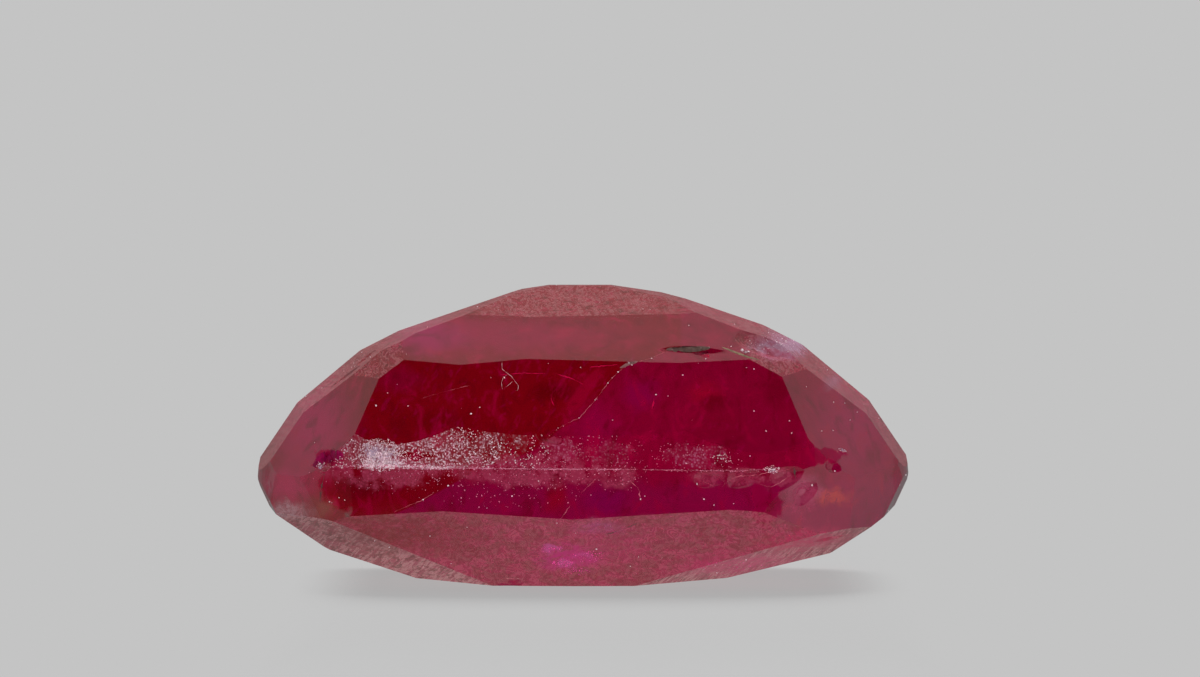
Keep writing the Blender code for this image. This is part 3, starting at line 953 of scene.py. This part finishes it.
# Single specks: middle in pixels and size in pixels
SPECKS = (
    (754, 369, 2.0), (746.5, 367.6, 1.6), (754, 411, 2.2), (766, 431, 2.2), (789.5, 420.7, 1.8),
    (791.7, 433, 1.8), (833.5, 402, 2.0), (844.7, 403, 1.8), (850, 420, 2.2), (857, 412, 1.6),
    (833, 430.5, 1.8), (750, 456, 1.6), (834.8, 471, 3.0), (812, 485, 3.6), (731, 346.6, 2.0),
    (776.6, 342.2, 2.6), (448, 485.5, 2.4), (423, 499.6, 2.6), (430, 536, 2.4), (339, 497.6, 2.0),
    (329.5, 501.6, 2.2), (512, 496, 2.0), (538.5, 481, 2.2), (501.5, 443, 2.6), (389.5, 547, 1.8),
    (451, 563.5, 1.8), (487, 508, 1.8), (557, 523, 2.0), (697, 484, 2.4), (704, 499, 2.4),
    (714, 505, 1.8), (640.7, 499, 2.4), (644.8, 496, 2.8), (358, 360, 2.6), (354, 363, 2.2),
    (344, 371, 1.8), (322, 388, 1.6), (387.5, 393, 2.0), (376, 405.6, 2.4), (408, 406, 1.8),
    (479.8, 407.3, 2.6), (471, 413.7, 2.6), (490.8, 377.8, 1.6), (612.6, 420, 1.8), (651.6, 358.6, 2.4),
    (705.7, 359, 1.8), (682.8, 375, 2.0), (701, 348, 2.4), (708.6, 347.3, 2.0), (591, 495, 1.6),
    (742, 350.5, 6.0), (745.5, 352.8, 5.0), (748.5, 351.6, 3.4), (786, 341, 3.0), (781, 345, 2.2),
    (320, 464, 3.0), (773, 469.5, 4.2), (629, 363, 2.4), (632, 365, 2.0), (668, 396, 1.2),
    (558, 428, 1.8), (579, 418, 1.8), (595, 400, 2.2), (608, 383, 1.8), (618, 372, 2.0),
)

# The stray fibre: pixels along its strand and along its loop
FIBRE = (
    (
        (502, 361.5), (502, 369), (507, 373), (511.5, 376.5), (516, 382.5), (518.5, 386), (518, 390),
        (515, 391),
    ),
    ((507, 375), (503.5, 377), (501.5, 382.5), (502, 389), (504, 388.5), (510, 384), (512.5, 381.5)),
)


def make_ridge_wear(chance):
    """The pale abraded line along the girdle's ridge, on the front and again on the back."""
    pink = plain_material("worn_ridge", (0.70, 0.24, 0.36, 1.0), 0.45, speckle=0.6)
    runs = []
    for behind in (False, True):
        for path, width in RIDGE_RUNS:
            runs.append(surface_run(path, width * 0.6, chance, 0.6, gaps=0.2, behind=behind))
    cords("ridge_wear", runs, pink, flatness=0.5)


def make_cracks(chance):
    """The fracture's seam, the healed lines, the fillings, one of them painted shade in the opening's
    hole, and the fine pale and dark cracks, with a painted shadow under the opening among the dark ones.
    """
    pale = plain_material("crack_pale", (0.66, 0.16, 0.22, 1.0), 0.45, speckle=0.7)
    dark = plain_material("crack_dark_and_painted_shadow", (0.10, 0.055, 0.05, 1.0), 0.4, speckle=0.5)
    open_part = FRACTURE[SEAM_START:]
    seam = [surface_run(open_part, 0.55, chance, 0.8, gaps=0.4, behind=back) for back in (False, True)]
    cords("fracture_seam", seam, pale)
    crimson = plain_material("healed_crimson", (0.56, 0.003, 0.055, 1.0), 0.3, speckle=0.6)
    healed = [surface_run(path, width, chance, 0.5) for _, path, width in CRIMSON_LINES]
    cords("healed_lines", healed, crimson)
    for name, path, width, colour in FILLINGS:
        points, normals, _ = surface_run(path, width, chance, 0.0, step=1.5)
        along_it = np.linspace(-0.98, 0.98, len(points))
        lens = width * MM_PER_PIXEL / 2 * np.sqrt(1 - along_it**2)
        cords(name, [(points, normals, lens)], plain_material(name, colour, 0.35, 0.8), flatness=0.12)
    lines = [surface_run(path, width, chance, 0.7, gaps=0.3) for _, path, width in PALE_LINES]
    cords("fine_cracks", lines, pale)
    lines = [surface_run(path, width, chance, 0.7, gaps=0.2) for _, path, width in DARK_LINES]
    cords("dark_cracks_and_painted_shadow", lines, dark)


def scattered(patch_row, density, chance):
    """Pixels strewn inside a patch, thinning out toward its rim."""
    _, middle, reach, strength = patch_row
    count = int(math.pi * reach[0] * reach[1] * strength * density)
    turn = chance.uniform(0, 2 * math.pi, count)
    out = chance.uniform(0, 1, count) ** 0.6
    return middle + np.stack([np.cos(turn), np.sin(turn)], 1) * out[:, None] * reach


def strewn(pixels, spread, density, chance):
    """Pixels strewn to both sides of a line, so many to each pixel of its length."""
    line = along(pixels, 1.0 / density)
    return line + chance.normal(size=line.shape) * spread


def on_the_wall(spots):
    """The pixels that show the upper girdle wall."""
    met, _, normals = strike(spots)
    return spots[met][(normals[:, 2] > 0.0) & (normals[:, 2] < 0.14)]


def make_frost(chance):
    """Grains scattered over the frosted girdle wall, along its ridge and below it, and on the scar, some
    of the pale ones on two painted glints; and hot pink grains as painted glow, where light comes up
    through the stone."""
    pale = plain_material("frost_grains", (0.98, 0.72, 0.80, 1.0), 0.3, speckle=0.5, shine=0.5)
    rose = plain_material("sugar_grains", (0.90, 0.34, 0.50, 1.0), 0.3, speckle=0.6, shine=0.4)
    bright = [on_the_wall(scattered(row, FROST_DENSITY, chance)) for row in FROSTED_PATCHES[:2]]
    bright += [scattered(row, WHITE_DENSITY, chance) for row in WHITE_PATCHES]
    bright += [scattered(SCAR_GRAINS, SUGAR_DENSITY, chance)]
    path, width = RIDGE_RUNS[BRIGHT_RUN]
    bright += [strewn(path, 0.4 * width, RIDGE_DENSITY * width**2, chance)]
    soft = [on_the_wall(scattered(row, FROST_DENSITY, chance)) for row in FROSTED_PATCHES[2:]]
    soft += [scattered(row, SUGAR_DENSITY, chance) for row in HAZY_PATCHES[:3]]
    soft += [scattered(LOW_GRAINS, SUGAR_DENSITY, chance)]
    soft += [strewn(path, 0.5 * width, RIDGE_DENSITY * width**2, chance) for path, width in RIDGE_RUNS]
    soft += [strewn(FRACTURE[SEAM_START:], 0.5, 0.12, chance)]
    painted_glow = plain_material("painted_glow_grains", (1.0, 0.10, 0.42, 1.0), 0.3, speckle=0.6, shine=0.3)
    glow = [scattered(row, GLOW_DENSITY, chance) for row in GLOW_GRAINS]
    kinds = (
        ("frost_grains", bright, 0.022, pale),
        ("sugar_grains", soft, 0.017, rose),
        ("painted_glow_grains", glow, 0.020, painted_glow),
    )
    for name, spots, size, material in kinds:
        spots = np.concatenate(spots)
        found = np.concatenate([strike(spots, behind)[1] for behind in (False, True)])
        sizes = chance.uniform(0.45, 1.0, len(found)) ** 1.5 * size
        shards(name, found, sizes, material, chance)


# Scattered dust: how many specks, their greatest size in millimetres, and the height they start at
DUST_COUNT, DUST_SIZE, DUST_FOOT = 300, 0.022, 0.02
# A speck's size as a share of its width in the photograph
SPECK_SHARE = 0.42


def make_dust(chance):
    """White specks: the ones that show in front, and a light scatter all over. A scattered one lies at
    a + u (b - a) + v (c - a) in a triangle a, b, c."""
    named = np.array(SPECKS)
    met, points, _ = strike(named[:, :2])
    sizes = named[met, 2] * MM_PER_PIXEL * SPECK_SHARE
    sides = TRIANGLES[:, 1:] - TRIANGLES[:, :1]
    area = np.linalg.norm(np.cross(sides[:, 0], sides[:, 1]), axis=1)
    chosen = chance.choice(len(TRIANGLES), DUST_COUNT, p=area / area.sum())
    u, v = chance.uniform(size=(2, DUST_COUNT, 1))
    u, v = np.where(u + v > 1, (1 - u, 1 - v), (u, v))
    corner = TRIANGLES[chosen]
    scatter = corner[:, 0] + u * (corner[:, 1] - corner[:, 0]) + v * (corner[:, 2] - corner[:, 0])
    scatter = scatter[scatter[:, 2] > DUST_FOOT]
    small = chance.uniform(0.3, 1.0, len(scatter)) ** 3 * DUST_SIZE
    white = plain_material("dust", (0.97, 0.80, 0.86, 1.0), 0.3, speckle=0.2, shine=0.5)
    shards("dust", np.concatenate([points, scatter]), np.concatenate([sizes, small]), white, chance)


def make_fibre(chance):
    """A stray fibre curled on the left window."""
    pale = plain_material("fibre", (0.85, 0.50, 0.54, 1.0), 0.35, speckle=0.4)
    runs = [surface_run(path, 0.5, chance, 0.0, step=0.8) for path in FIBRE]
    cords("fibre", runs, pale, lift=0.012, flatness=1.0)


make_camera()
make_studio()
make_floor()
make_lamps()
dress_stone()
chance = np.random.default_rng(7)
make_ridge_wear(chance)
make_cracks(chance)
make_frost(chance)
make_dust(chance)
make_fibre(chance)
